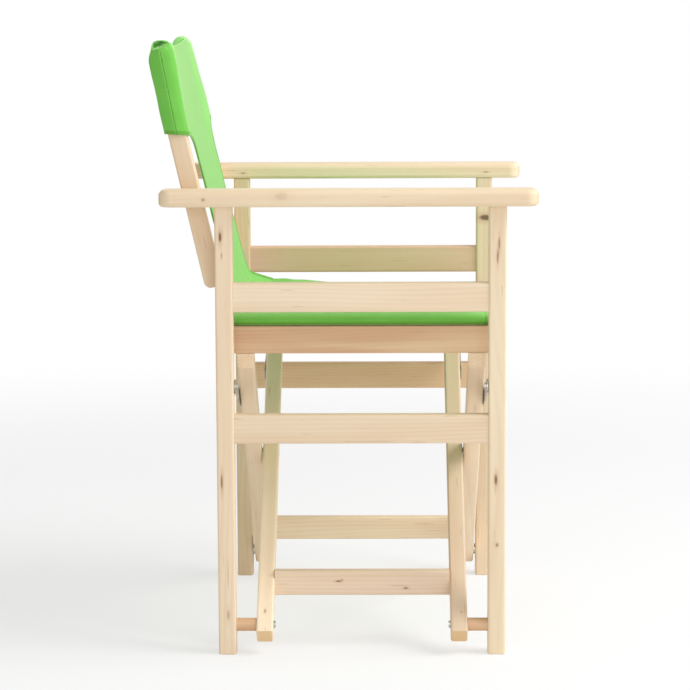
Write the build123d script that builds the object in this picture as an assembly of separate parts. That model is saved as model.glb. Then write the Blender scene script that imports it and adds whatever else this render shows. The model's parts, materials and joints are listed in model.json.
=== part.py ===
from build123d import *
import math
import os

os.makedirs("parts", exist_ok=True)

# Millimetres, +Z up, front of the chair at -Y, the sitter's right hand at -X.
# The origin lies on the floor, in the middle of the chair's outer box.

# Overall sizes
frame_width = 500.0          # over the outer faces of the posts
frame_depth = 393.0          # over the front and rear faces of the posts
arm_height = 640.0           # top of the armrests
back_over_arm = 197.0        # top of the cloth sleeves over the armrests
seat_height = 462.0          # top of the rolled seat edges

# Side frames
post_thick = 26.0            # across the chair
post_deep = 24.0             # front to back
arm_thick = 23.0
arm_inset = 2.5              # armrest's inner edge inside the posts' inner faces
arm_overhang = 17.5          # armrest's outer edge outside the posts' outer faces
arm_front_reach = 42.0       # armrest in front of the front post
arm_behind_back = 43.3       # armrest behind the middle of the back post
arm_round = 8.0
arm_under_round = 6.0
arm_end_round = 16.0         # corners of the armrest seen from above
rail_thick = 19.5
rail_inset = 2.0             # side rails behind the posts' outer faces
rail_tall = 39.5
upper_rail_over_seat = 51.0  # upper side rail's top over the seat
lower_rail_below_link = 38.0  # lower side rail's top below the link's screw
edge_round = 3.0
seat_rail_round = 2.0
tenon_long = 12.0
tenon_thick = 9.0
tenon_shoulder = 6.0
post_tenon = 13.0            # diameter of the round tenons under the armrests
post_tenon_long = 14.0
foot_chamfer = 1.0
mortise_open = 1.0           # cutters start this far outside the face they cut

# Back posts
back_tilt = 13.0
back_deep = 25.0
back_thick = 20.0
back_end_below = 8.0         # back post's lower end below the upper side rail's top
back_ref_rise = 100.0        # height over that rail where the back post's middle is given
back_ref_y = 27.1            # middle of the back post behind the rear face of the rear post
back_top_below = 16.0        # back post's top below the sleeve's top
back_top_round = 8.0         # ends of the back post seen from the side
back_rear_round = 9.0
back_front_round = 4.0
back_bolt = 4.0
back_bolt_below = 1.0        # bolt below the upper side rail's top
arm_screw = 4.5
back_bolt_head = 8.0
arm_screw_head = 9.0
back_head_thick = 2.5
back_bolt_reach = 6.0        # bolt's end past the middle of the post

# Crossed legs
leg_wide = 23.0
leg_deep = 25.0
leg_gap = 1.6                # between the inner and the outer legs
link_gap = 3.2               # between the outer legs and the posts
pivot_height = 39.5
leg_past_pivot = 20.5
seat_rail_thick = 26.0
seat_rail_inset = 14.0       # seat rail's outer face inside the posts' inner faces
seat_rail_tall = 38.0
seat_edge_tall = 12.0        # rolled seat edge over the seat rail
plumb_cut = 20.0             # upright cut at the leg's top under the seat rail
low_rail_tall = 34.0         # low rails stand upright between the sloping legs
low_rail_thick = 20.0
low_tenon_tall = 18.0
low_rail_from_pivot = 73.0
rail_past_posts = 3.5        # seat rail's ends past the posts' inner faces, on the chair's inside
rail_corner_wide = 3.0       # corner cut off below those ends, which would meet the posts when folded
rail_corner_tall = 4.0
leg_end_round = 1.0
joint_dowel = 6.0            # dowels between leg tops, seat rails and battens
joint_dowel_deep = 9.0
batten_dowel_spread = 120.0  # outer batten dowels from the middle
batten_short = 2.0           # batten's ends inside the seat rail's ends

# Bolts, links
pivot_bolt = 8.0
run_clear = 0.05             # radial clearance of the turning fits
fit_clear = 0.1              # clearance of the fixed joints
air = 0.3                    # gap between pieces that move past each other
spacer_dia = 18.0
washer_dia = 16.0
washer_thick = 1.0
head_dia = 13.0              # bolts and nuts at the crossing, sunk into the legs
head_thick = 4.0
pivot_head = 9.6             # bolts at the lower pivots
pivot_head_thick = 1.2
pivot_washer = 10.5
bolt_in_post = 6.0           # pivot bolt's end past the middle of the post
link_thick = 1.6
link_wide = 19.0
link_below_seat = 41.0       # link's screw in the post, below the seat rail
link_screw = 5.0
link_head = 10.0
link_head_thick = 2.5
link_screw_in_post = 4.0     # link screw's end past the middle of the post
rivet_dia = 6.0
rivet_head = 11.0
rivet_head_thick = 0.4
folded_half = 75.0           # lower pivots from the middle plane when folded

# Cloth
cloth = 2.0
hem_wall = 2.0
batten_clear = 0.3
hem_round = 5.0
seat_sag = 3.0
hem_short = 1.0              # rolled seat edge's ends inside the seat rail's ends
seat_panel_in = 58.5         # rear edge of the flat seat in front of the rear posts' backs
low_panel_half = 160.0
sleeve_loose_deep = 2.0      # room in the sleeve before and behind the back post
sleeve_loose_wide = 1.0      # room in the sleeve beside the back post
sleeve_tall = 126.0
sleeve_round = 9.0
hem_screw = 2.0
hem_screw_head = 3.6
hem_screw_head_thick = 0.8
hem_screw_from_end = 6.0
low_bend_in = 38.0           # where the lower back starts to rise, in front of the rear posts' backs
low_bend_rise = 7.0
low_mid_in = 16.0
low_mid_rise = 45.0
low_upper_out = 8.0          # lower back behind the rear posts' backs, at its upper bend
low_upper_below = 99.0       # that place below the sleeves
low_top_gap = 2.0            # lower back's upper edge below the sleeves
low_steps = 12

# Steps of the searches for the leg's slope and the link's hole
search_steps = 60

# Derived places
half_w = frame_width / 2
half_d = frame_depth / 2
post_x = half_w - post_thick / 2
post_in_x = half_w - post_thick
post_y = half_d - post_deep / 2
post_in_y = half_d - post_deep
arm_bottom = arm_height - arm_thick
arm_in_x = post_in_x - arm_inset
arm_out_x = half_w + arm_overhang
rail_x = half_w - rail_inset - rail_thick / 2
back_x = post_in_x - back_thick / 2
back_y = half_d + back_ref_y
back_height = arm_height + back_over_arm
upper_rail_top = seat_height + upper_rail_over_seat
back_ref_z = upper_rail_top + back_ref_rise
back_bottom = upper_rail_top - back_end_below
tilt = math.radians(back_tilt)

leg_b_y = post_in_y - link_gap - leg_wide / 2
leg_a_y = leg_b_y - leg_wide - leg_gap
seat_rail_x = post_in_x - seat_rail_inset
seat_rail_top = seat_height - seat_edge_tall
seat_rail_bottom = seat_rail_top - seat_rail_tall
seat_rail_mid_x = seat_rail_x - seat_rail_thick / 2
seat_rail_half = post_in_y + rail_past_posts
seat_half_deep = seat_rail_half - hem_short
seat_panel_back = half_d - seat_panel_in
link_post_height = seat_rail_bottom - link_below_seat
lower_rail_top = link_post_height - lower_rail_below_link
sleeve_deep = back_deep + 2 * (cloth + sleeve_loose_deep)
sleeve_wide = back_thick + 2 * (cloth + sleeve_loose_wide)
sleeve_bottom = back_height - sleeve_tall

# The leg's middle line runs from the lower pivot to the seat rail of the other side.
leg_angle = math.atan2(seat_rail_bottom, 2 * post_x)
for _ in range(search_steps):
    line_top = seat_rail_bottom - plumb_cut + leg_deep / 2 / math.cos(leg_angle)
    leg_angle = math.atan2(line_top - pivot_height, post_x + seat_rail_x)
cross_height = pivot_height + post_x * math.tan(leg_angle)
leg_arm = post_x / math.cos(leg_angle)
folded_angle = math.acos(folded_half / leg_arm)


def link_miss(share):
    """Difference of the link's length open and folded, for a hole at this share of the upper arm."""
    open_x = post_x * (1 - share)
    open_z = cross_height + share * (cross_height - pivot_height) - link_post_height
    shut_x = folded_half * (1 - share)
    shut_z = pivot_height + leg_arm * math.sin(folded_angle) * (1 + share) - link_post_height
    return math.hypot(open_x, open_z) - math.hypot(shut_x, shut_z)


low_share = 0.0
high_share = 1.0
for _ in range(search_steps):
    link_share = (low_share + high_share) / 2
    if link_miss(link_share) > 0:
        low_share = link_share
    else:
        high_share = link_share
link_hole_x = post_x * link_share
link_hole_z = cross_height + link_share * (cross_height - pivot_height)
link_long = math.hypot(post_x - link_hole_x, link_hole_z - link_post_height)
link_slope = math.degrees(math.atan2(link_hole_z - link_post_height, post_x - link_hole_x))

nodes = {}


def block(x0, x1, y0, y1, z0, z1):
    """Box between two corners."""
    solid = Box(abs(x1 - x0), abs(y1 - y0), abs(z1 - z0))
    return Pos((x0 + x1) / 2, (y0 + y1) / 2, (z0 + z1) / 2) * solid


def rod(dia, x, y0, y1, z):
    """Round bar along Y."""
    return Pos(x, (y0 + y1) / 2, z) * Rot(90, 0, 0) * Cylinder(dia / 2, abs(y1 - y0))


def ring(outer, inner, x, y0, y1, z):
    return rod(outer, x, y0, y1, z) - rod(inner, x, min(y0, y1) - mortise_open, max(y0, y1) + mortise_open, z)


def bar(dia, x0, x1, y, z):
    """Round bar along X."""
    return Pos((x0 + x1) / 2, y, z) * Rot(0, 90, 0) * Cylinder(dia / 2, abs(x1 - x0))


def pin(dia, x, y, z0, z1):
    """Round bar along Z."""
    return Pos(x, y, (z0 + z1) / 2) * Cylinder(dia / 2, abs(z1 - z0))


def along_back(part):
    """Stand a piece made round the Z axis on the tilted middle line of the back post."""
    return Pos(back_x, back_y, back_ref_z) * Rot(-back_tilt, 0, 0) * part


def keep(name, *pieces):
    nodes[name] = list(pieces)


def flip(part):
    return mirror(part, about=Plane.YZ)


def both_sides(name, *pieces):
    """Pieces are drawn on the left side; the right side is their mirror image."""
    keep("left_" + name, *pieces)
    keep("right_" + name, *[flip(p) for p in pieces])


# Side frames
rail_end = post_in_y + tenon_long


def side_rail(top):
    bottom = top - rail_tall
    x0 = rail_x - rail_thick / 2
    x1 = rail_x + rail_thick / 2
    body = block(x0, x1, -post_in_y, post_in_y, bottom, top)
    body = fillet(body.edges().filter_by(Axis.Y), edge_round)
    tongue = block(rail_x - tenon_thick / 2, rail_x + tenon_thick / 2, -rail_end, rail_end,
                   bottom + tenon_shoulder, top - tenon_shoulder)
    return body + tongue


def rail_mortise(top, sign):
    bottom = top - rail_tall
    return block(rail_x - tenon_thick / 2 - fit_clear, rail_x + tenon_thick / 2 + fit_clear,
                 sign * (post_in_y - mortise_open), sign * (rail_end + fit_clear),
                 bottom + tenon_shoulder - fit_clear, top - tenon_shoulder + fit_clear)


def side_post(sign):
    post = block(post_in_x, half_w, sign * post_in_y, sign * half_d, 0, arm_bottom)
    post = fillet(post.edges().filter_by(Axis.Z), edge_round)
    post = chamfer(post.faces().sort_by(Axis.Z)[0].edges(), foot_chamfer)
    post += pin(post_tenon, post_x, sign * post_y, arm_bottom - mortise_open, arm_bottom + post_tenon_long)
    post -= rail_mortise(upper_rail_top, sign)
    post -= rail_mortise(lower_rail_top, sign)
    post -= rod(pivot_bolt, post_x, sign * (post_in_y - mortise_open), sign * (post_y + bolt_in_post),
                pivot_height)
    post -= rod(link_screw, post_x, sign * (post_in_y - mortise_open), sign * (post_y + link_screw_in_post),
                link_post_height)
    return post


back_in_x = post_in_x - back_thick
back_hole_end = post_x + back_bolt_reach + fit_clear
back_bolt_z = upper_rail_top - back_bolt_below
back_front_y = back_y + (back_bolt_z - back_ref_z) * math.tan(tilt) - back_deep / 2 / math.cos(tilt)
back_bolt_y = (back_front_y + half_d) / 2
back_hole = bar(back_bolt, back_in_x - mortise_open, back_hole_end, back_bolt_y, back_bolt_z)
arm_hole_z = arm_bottom + arm_thick / 2
arm_hole_y = back_y + (arm_hole_z - back_ref_z) * math.tan(tilt)
arm_hole = bar(arm_screw, back_in_x - mortise_open, back_hole_end, arm_hole_y, arm_hole_z)

both_sides("front_post", side_post(-1))
both_sides("rear_post", side_post(1) - back_hole)
both_sides("upper_side_rail", side_rail(upper_rail_top))
both_sides("lower_side_rail", side_rail(lower_rail_top))

back_low = (back_bottom - back_ref_z) / math.cos(tilt)
back_high = (back_height - back_top_below - back_ref_z) / math.cos(tilt)
back_body = Box(back_thick, back_deep, back_high - back_low)
end_edges = back_body.edges().filter_by(Axis.X).sort_by(Axis.Z)
back_body = fillet(end_edges[-2:], back_top_round)
end_edges = back_body.edges().filter_by(Axis.X).sort_by(Axis.Z)[:2].sort_by(Axis.Y)
back_body = fillet(end_edges[-1], back_rear_round)
end_edges = back_body.edges().filter_by(Axis.X).sort_by(Axis.Z)[:2].sort_by(Axis.Y)
back_body = fillet(end_edges[0], back_front_round)
back_body = fillet(back_body.edges().filter_by(Axis.Z), edge_round)
back_post = along_back(Pos(0, 0, (back_low + back_high) / 2) * back_body)
both_sides("back_post", back_post - back_hole - arm_hole)

arm_front = -half_d - arm_front_reach
arm_rear = arm_hole_y + arm_behind_back
armrest = block(arm_in_x, arm_out_x, arm_front, arm_rear, arm_bottom, arm_height)
armrest = fillet(armrest.edges().filter_by(Axis.Z), arm_end_round)
armrest = fillet(armrest.faces().sort_by(Axis.Z)[-1].edges(), arm_round)
armrest = fillet(armrest.faces().sort_by(Axis.Z)[0].edges(), arm_under_round)
for sign in (-1, 1):
    armrest -= pin(post_tenon + 2 * fit_clear, post_x, sign * post_y, arm_bottom - mortise_open,
                   arm_bottom + post_tenon_long + fit_clear)
notch = along_back(Box(back_thick + 2 * fit_clear, back_deep + 2 * fit_clear, 2 * arm_height))
armrest = armrest - notch - arm_hole
both_sides("armrest", armrest)


def cross_bolt(dia, head, x0, x1, y, z):
    """Bolt along X with its round head on the inner face."""
    return bar(dia, x0, x1, y, z) + bar(head, x0 - back_head_thick, x0, y, z)


both_sides("back_post_bolts",
           cross_bolt(back_bolt - 2 * fit_clear, back_bolt_head, back_in_x, post_x + back_bolt_reach,
                      back_bolt_y, back_bolt_z),
           cross_bolt(arm_screw - 2 * fit_clear, arm_screw_head, back_in_x, post_x + back_bolt_reach,
                      arm_hole_y, arm_hole_z))

# Crossed legs: drawn with the foot at +X and the seat rail at -X.
dir_x = -math.cos(leg_angle)
dir_z = math.sin(leg_angle)
nor_x = math.sin(leg_angle)
nor_z = math.cos(leg_angle)


def on_leg(along, across):
    """Point on the leg: along its middle line from the lower pivot, across towards the inner upper face."""
    return (post_x + along * dir_x + across * nor_x, pivot_height + along * dir_z + across * nor_z)


half_leg = leg_deep / 2
cut_along = (-seat_rail_x - post_x + half_leg * nor_x) / dir_x
land_along = (seat_rail_bottom - pivot_height - half_leg * nor_z) / dir_z
leg_outline = [
    on_leg(-leg_past_pivot, -half_leg),
    on_leg(cut_along, -half_leg),
    (-seat_rail_x, seat_rail_bottom),
    on_leg(land_along, half_leg),
    on_leg(-leg_past_pivot, half_leg),
]
land_mid_x = (-seat_rail_x + on_leg(land_along, half_leg)[0]) / 2
low_rail_mid = on_leg(low_rail_from_pivot, 0)


def leg(y_mid, pivot_hole, cross_hole):
    flat = make_face(Polyline(*[(p[0], p[1]) for p in leg_outline], close=True))
    flat = fillet(flat.vertices().sort_by(Axis.X)[-2:], leg_end_round)
    solid = extrude(Plane.XZ * flat, leg_wide / 2, both=True)
    solid = Pos(0, y_mid, 0) * solid
    long_edges = [e for e in solid.edges() if e.length > leg_arm / 2]
    solid = fillet(long_edges, edge_round)
    solid -= rod(pivot_hole, post_x, y_mid - leg_wide, y_mid + leg_wide, pivot_height)
    solid -= rod(cross_hole, 0, y_mid - leg_wide, y_mid + leg_wide, cross_height)
    solid -= pin(joint_dowel, land_mid_x, y_mid, seat_rail_bottom - joint_dowel_deep,
                 seat_rail_bottom + mortise_open)
    return solid


def at_low_rail(part):
    return Pos(low_rail_mid[0], 0, low_rail_mid[1]) * part


def low_rail(half_long):
    body = Box(low_rail_thick, 2 * half_long, low_rail_tall)
    body = fillet(body.edges().filter_by(Axis.Y), edge_round)
    body += Box(tenon_thick, 2 * half_long + 2 * tenon_long, low_tenon_tall)
    return at_low_rail(body)


def low_rail_socket(half_long):
    reach = 2 * (half_long + tenon_long + fit_clear)
    return at_low_rail(Box(tenon_thick + 2 * fit_clear, reach, low_tenon_tall + 2 * fit_clear))


def seat_rail(leg_y):
    rail = block(-seat_rail_x, -seat_rail_x + seat_rail_thick, -seat_rail_half, seat_rail_half,
                 seat_rail_bottom, seat_rail_top)
    rail = fillet(rail.edges().filter_by(Axis.Y), seat_rail_round)
    for sign in (-1, 1):
        rail -= pin(joint_dowel, land_mid_x, sign * leg_y, seat_rail_bottom - mortise_open,
                    seat_rail_bottom + joint_dowel_deep)
    for y in batten_dowel_places:
        rail -= pin(joint_dowel, -seat_rail_mid_x, y, seat_rail_top - joint_dowel_deep,
                    seat_rail_top + mortise_open)
    out_x = -seat_rail_x - mortise_open
    under_z = seat_rail_bottom - mortise_open
    corner = make_face(Polyline((-seat_rail_x, seat_rail_bottom + rail_corner_tall),
                                (-seat_rail_x + rail_corner_wide, seat_rail_bottom),
                                (-seat_rail_x + rail_corner_wide, under_z), (out_x, under_z),
                                (out_x, seat_rail_bottom + rail_corner_tall), close=True))
    half_cut = (rail_past_posts + air + mortise_open) / 2
    wedge = extrude(Plane.XZ * corner, half_cut, both=True)
    for sign in (-1, 1):
        rail -= Pos(0, sign * (post_in_y - air + half_cut), 0) * wedge
    return rail


batten_dowel_places = [-batten_dowel_spread, 0.0, batten_dowel_spread]
hem_bottom = seat_rail_top + fit_clear
hem_tall = seat_height - hem_bottom
batten_wide = seat_rail_thick - 2 * hem_wall - 2 * batten_clear
batten_tall = hem_tall - 2 * hem_wall - 2 * batten_clear
hem_mid_z = hem_bottom + hem_tall / 2
hem_screw_y = seat_half_deep - hem_screw_from_end
batten_dowel_top = hem_mid_z + 2 * fit_clear


def long_bar(wide, tall, half_long, rounding):
    body = Box(wide, 2 * half_long, tall)
    body = fillet(body.edges().filter_by(Axis.Y), rounding)
    return Pos(-seat_rail_mid_x, 0, hem_mid_z) * body


def batten():
    body = long_bar(batten_wide, batten_tall, seat_rail_half - batten_short,
                    hem_round - hem_wall - batten_clear)
    for y in batten_dowel_places:
        body -= pin(joint_dowel, -seat_rail_mid_x, y, hem_bottom, batten_dowel_top + fit_clear)
    for sign in (-1, 1):
        body -= bar(hem_screw, -seat_rail_x - mortise_open, -seat_rail_mid_x, sign * hem_screw_y, hem_mid_z)
    return body


def hem():
    body = long_bar(seat_rail_thick, hem_tall, seat_half_deep, hem_round)
    body -= long_bar(batten_wide + 2 * batten_clear, batten_tall + 2 * batten_clear,
                     seat_half_deep + mortise_open, hem_round - hem_wall)
    for y in batten_dowel_places:
        body -= pin(joint_dowel + 2 * air, -seat_rail_mid_x, y, hem_bottom - mortise_open, hem_mid_z)
    for sign in (-1, 1):
        body -= bar(hem_screw + 2 * air, -seat_rail_x - mortise_open, -seat_rail_mid_x,
                    sign * hem_screw_y, hem_mid_z)
    return body


def hem_screws():
    for_side = []
    for sign in (-1, 1):
        shank = bar(hem_screw - 2 * fit_clear, -seat_rail_x - air, -seat_rail_mid_x - fit_clear,
                    sign * hem_screw_y, hem_mid_z)
        head = bar(hem_screw_head, -seat_rail_x - air - hem_screw_head_thick, -seat_rail_x - air,
                   sign * hem_screw_y, hem_mid_z)
        for_side.append(shank + head)
    return for_side


leg_a_in = leg_a_y - leg_wide / 2
leg_a_out = leg_a_y + leg_wide / 2
leg_b_out = leg_b_y + leg_wide / 2
sunk_head = leg_a_in + head_thick
sunk_nut = leg_b_out - head_thick - washer_thick - air


def head_hole(sign):
    return rod(head_dia + 2 * fit_clear, 0, sign * (leg_a_in - mortise_open), sign * sunk_head, cross_height)


def nut_hole(sign):
    return rod(washer_dia + 2 * air, 0, sign * sunk_nut, sign * (leg_b_out + mortise_open), cross_height)


def leg_frame(letter, y_mid, place, pivot_hole, cross_hole, sunk_hole):
    inner_face = y_mid - leg_wide / 2
    socket = low_rail_socket(inner_face)
    for word, sign in (("front", -1), ("rear", 1)):
        solid = leg(sign * y_mid, pivot_hole, cross_hole) - socket - sunk_hole(sign)
        keep("leg_" + letter + "_" + word, place(solid))
    keep("low_rail_" + letter, place(low_rail(inner_face)))
    keep("seat_rail_" + letter, place(seat_rail(y_mid)))
    keep("leg_dowels_" + letter,
         *[place(pin(joint_dowel - 2 * fit_clear, land_mid_x, sign * y_mid,
                     seat_rail_bottom - joint_dowel_deep + fit_clear,
                     seat_rail_bottom + joint_dowel_deep - fit_clear)) for sign in (-1, 1)])
    keep("seat_batten_" + letter, place(batten()))
    keep("batten_dowels_" + letter,
         *[place(pin(joint_dowel - 2 * fit_clear, -seat_rail_mid_x, y,
                     seat_rail_top - joint_dowel_deep + fit_clear, batten_dowel_top))
           for y in batten_dowel_places])
    keep("seat_hem_" + letter, place(hem()))
    keep("hem_screws_" + letter, *[place(s) for s in hem_screws()])


def as_drawn(part):
    return part


turning_hole = pivot_bolt + 2 * run_clear
leg_frame("b", leg_b_y, as_drawn, turning_hole, turning_hole, nut_hole)
leg_frame("a", leg_a_y, flip, turning_hole, pivot_bolt, head_hole)

# Lower pivots: the bolts stand in the posts, the legs turn on them.
bolt_end = post_y + bolt_in_post - fit_clear


def lower_bolt(sign, side, leg_y):
    inner = leg_y - leg_wide / 2
    under_head = inner - washer_thick - 2 * air
    shank = rod(pivot_bolt, side * post_x, sign * under_head, sign * bolt_end, pivot_height)
    head = rod(pivot_head, side * post_x, sign * (under_head - pivot_head_thick), sign * under_head,
               pivot_height)
    return shank + head


def lower_washer(sign, side, leg_y):
    inner = leg_y - leg_wide / 2
    return ring(pivot_washer, pivot_bolt + fit_clear, side * post_x, sign * (inner - air - washer_thick),
                sign * (inner - air), pivot_height)


keep("right_pivot_bolts", *[lower_bolt(s, -1, leg_a_y) for s in (-1, 1)])
keep("right_pivot_washers", *[lower_washer(s, -1, leg_a_y) for s in (-1, 1)])
keep("left_pivot_bolts", *[lower_bolt(s, 1, leg_b_y) for s in (-1, 1)])
keep("left_pivot_washers", *[lower_washer(s, 1, leg_b_y) for s in (-1, 1)])
keep("right_pivot_spacers",
     *[ring(spacer_dia, pivot_bolt + fit_clear, -post_x, s * (leg_a_out + air), s * post_in_y, pivot_height)
       for s in (-1, 1)])
keep("left_pivot_spacers",
     *[ring(washer_dia, pivot_bolt + fit_clear, post_x, s * (leg_b_out + air), s * post_in_y, pivot_height)
       for s in (-1, 1)])

# Crossing bolts: fixed in legs a, legs b turn on them. Heads and nuts lie in sunk holes.
def crossing(sign):
    shank = rod(pivot_bolt, 0, sign * sunk_head, sign * leg_b_out, cross_height)
    head = rod(head_dia, 0, sign * leg_a_in, sign * sunk_head, cross_height)
    return shank + head


def crossing_nut(sign):
    body = Rot(90, 0, 0) * extrude(RegularPolygon(head_dia / 2, 6), head_thick / 2, both=True)
    middle = leg_b_out - head_thick / 2
    body = Pos(0, sign * middle, cross_height) * body
    return body - rod(pivot_bolt, 0, sign * (middle - head_thick), sign * (middle + head_thick), cross_height)


keep("crossing_bolts", *[crossing(s) for s in (-1, 1)])
keep("crossing_nuts", *[crossing_nut(s) for s in (-1, 1)])
keep("crossing_washers",
     *[ring(washer_dia, pivot_bolt + fit_clear, 0, s * y0, s * (y0 + washer_thick), cross_height)
       for s in (-1, 1) for y0 in (leg_a_out + air, leg_b_out - head_thick - washer_thick)])

# Steel links between the posts and the legs' upper arms
def link(side, sign, y_in):
    """Flat link with round ends; y_in is its face on the leg's side."""
    flat = SlotCenterToCenter(link_long, link_wide)
    flat = flat - Pos(-link_long / 2, 0) * Circle(link_screw / 2 + run_clear)
    flat = flat - Pos(link_long / 2, 0) * Circle(rivet_dia / 2 + fit_clear)
    plate = extrude(flat, link_thick)
    plate = Rot(90, 0, 0) * Pos(link_long / 2, 0, 0) * plate
    plate = Rot(0, -link_slope, 0) * plate
    plate = Pos(-post_x, y_in + link_thick, link_post_height) * plate
    if sign < 0:
        plate = mirror(plate, about=Plane.XZ)
    if side > 0:
        plate = flip(plate)
    return plate


def link_rivet(side, sign, y_in):
    x = side * link_hole_x
    body = rod(rivet_dia, x, sign * y_in, sign * (y_in + link_thick), link_hole_z)
    body += rod(rivet_head, x, sign * (y_in - rivet_head_thick), sign * y_in, link_hole_z)
    outer_face = y_in + link_thick
    body += rod(rivet_head, x, sign * outer_face, sign * (outer_face + rivet_head_thick), link_hole_z)
    return body


def link_post_screw(side, sign, y_in):
    x = side * post_x
    body = rod(link_screw, x, sign * (y_in - air), sign * (post_y + link_screw_in_post - fit_clear),
               link_post_height)
    body += rod(link_head, x, sign * (y_in - air - link_head_thick), sign * (y_in - air), link_post_height)
    return body


link_right_y = leg_b_out + (link_gap - link_thick) / 2
link_left_y = leg_a_out + (link_gap - link_thick) / 2
for word, side, y_in in (("right", -1, link_right_y), ("left", 1, link_left_y)):
    keep(word + "_links", *[link(side, s, y_in) for s in (-1, 1)])
    keep(word + "_link_rivets", *[link_rivet(side, s, y_in) for s in (-1, 1)])
    keep(word + "_link_screws", *[link_post_screw(side, s, y_in) for s in (-1, 1)])
keep("left_link_spacers",
     *[ring(link_head, link_screw + fit_clear, post_x, s * (link_left_y + link_thick + air), s * post_in_y,
            link_post_height) for s in (-1, 1)])

# Cloth: sleeves, back, lower back and seat
sleeve_low = (sleeve_bottom - back_ref_z) / math.cos(tilt)
sleeve_high = (back_height - back_ref_z - sleeve_deep / 2 * math.sin(tilt)) / math.cos(tilt)
sleeve_long = sleeve_high - sleeve_low
sleeve_mid = (sleeve_low + sleeve_high) / 2


def tube(grow, long):
    body = Box(sleeve_wide + 2 * grow, sleeve_deep + 2 * grow, long)
    return fillet(body.edges().filter_by(Axis.Z), sleeve_round + grow)


sleeve = Pos(0, 0, sleeve_mid) * (tube(0, sleeve_long) - tube(-cloth, sleeve_long + 2 * mortise_open))
both_sides("back_sleeve", along_back(sleeve))

panel_half = back_x - sleeve_wide / 2 - air
panel_front = -sleeve_deep / 2 + sleeve_round
panel = Pos(0, panel_front, sleeve_mid) * Box(2 * panel_half, cloth, sleeve_long)
keep("back_panel", Pos(0, back_y, back_ref_z) * Rot(-back_tilt, 0, 0) * panel)

seat_edge_x = seat_rail_x - seat_rail_thick - air
seat_edge_z = seat_height - hem_round


def seat_curve(lift):
    return ThreePointArc((-seat_edge_x, seat_edge_z + lift), (0, seat_edge_z - seat_sag + lift),
                         (seat_edge_x, seat_edge_z + lift))


upper = seat_curve(0)
lower = seat_curve(-cloth)
seat_face = make_face([upper, Line(upper @ 1, lower @ 1), lower, Line(lower @ 0, upper @ 0)])
seat_long = seat_panel_back + seat_half_deep
seat_mid_y = (seat_panel_back - seat_half_deep) / 2
seat = Pos(0, seat_mid_y, 0) * extrude(Plane.XZ * seat_face, seat_long / 2, both=True)
keep("seat_panel", seat)

panel_foot_y = back_y + panel_front / math.cos(tilt) + (sleeve_bottom - back_ref_z) * math.tan(tilt)
low_points = [(seat_panel_back + air, seat_edge_z - cloth / 2),
              (half_d - low_bend_in, seat_edge_z + low_bend_rise),
              (half_d - low_mid_in, seat_edge_z + low_mid_rise),
              (half_d + low_upper_out, sleeve_bottom - low_upper_below),
              (panel_foot_y, sleeve_bottom - low_top_gap)]
low_line = Spline(*low_points)


def low_side(shift):
    """Points of the lower back's profile, moved off its middle line."""
    points = []
    for i in range(low_steps + 1):
        at = low_line @ (i / low_steps)
        run = low_line % (i / low_steps)
        points.append((at.X - run.Y * shift, at.Y + run.X * shift))
    return points


low_front = Spline(*low_side(cloth / 2))
low_back = Spline(*low_side(-cloth / 2))
low_face = make_face([low_front, Line(low_front @ 1, low_back @ 1),
                      low_back, Line(low_back @ 0, low_front @ 0)])
low_panel = extrude(Plane.YZ * low_face, low_panel_half, both=True)
keep("lower_back_panel", low_panel)

# Put the origin in the middle of the outer box and write the pieces.
everything = Compound(children=[Compound(p.wrapped) for group in nodes.values() for p in group])
outer = everything.bounding_box()
middle_y = (outer.min.Y + outer.max.Y) / 2
for name, pieces in nodes.items():
    solids = [s for p in pieces for s in (Pos(0, -middle_y, 0) * p).solids()]
    shape = solids[0] if len(solids) == 1 else Compound(children=solids)
    shape.label = name
    export_step(shape, "parts/" + name + ".step")

print("pieces", len(nodes), "middle", round(middle_y, 3))
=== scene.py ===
import json
import math

import bpy
import numpy as np
from mathutils import Matrix, Vector, noise


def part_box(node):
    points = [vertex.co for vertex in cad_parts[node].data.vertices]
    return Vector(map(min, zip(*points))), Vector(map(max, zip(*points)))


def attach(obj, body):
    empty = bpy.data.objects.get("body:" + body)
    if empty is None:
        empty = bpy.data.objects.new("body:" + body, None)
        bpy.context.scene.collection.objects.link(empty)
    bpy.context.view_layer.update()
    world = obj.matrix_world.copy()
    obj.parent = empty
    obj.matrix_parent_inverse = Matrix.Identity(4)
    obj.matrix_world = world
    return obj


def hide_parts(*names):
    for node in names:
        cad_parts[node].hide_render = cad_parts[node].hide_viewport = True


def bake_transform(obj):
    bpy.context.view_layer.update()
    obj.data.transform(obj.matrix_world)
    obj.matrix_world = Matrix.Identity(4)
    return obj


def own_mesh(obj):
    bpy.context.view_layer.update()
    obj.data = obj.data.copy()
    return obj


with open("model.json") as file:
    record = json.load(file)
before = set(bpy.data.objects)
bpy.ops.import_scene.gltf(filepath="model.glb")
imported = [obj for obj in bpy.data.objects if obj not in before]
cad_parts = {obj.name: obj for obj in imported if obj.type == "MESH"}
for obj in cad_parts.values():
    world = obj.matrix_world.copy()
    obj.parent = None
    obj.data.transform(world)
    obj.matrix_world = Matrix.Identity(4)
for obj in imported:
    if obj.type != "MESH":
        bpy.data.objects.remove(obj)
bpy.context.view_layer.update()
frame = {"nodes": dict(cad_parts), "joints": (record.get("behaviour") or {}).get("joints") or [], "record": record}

# Sizes in metres, in the frame of the model: +Z up, front at -Y, the sitter's right hand at -X.

# Camera at the photograph's place
camera_place = Vector((-3.708, -0.054, 0.924))
camera_yaw = math.radians(0.82)
camera_pitch = math.radians(8.14)
camera_roll = math.radians(-0.26)
camera_lens = 135.1
camera_sensor = 36.0

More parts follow.
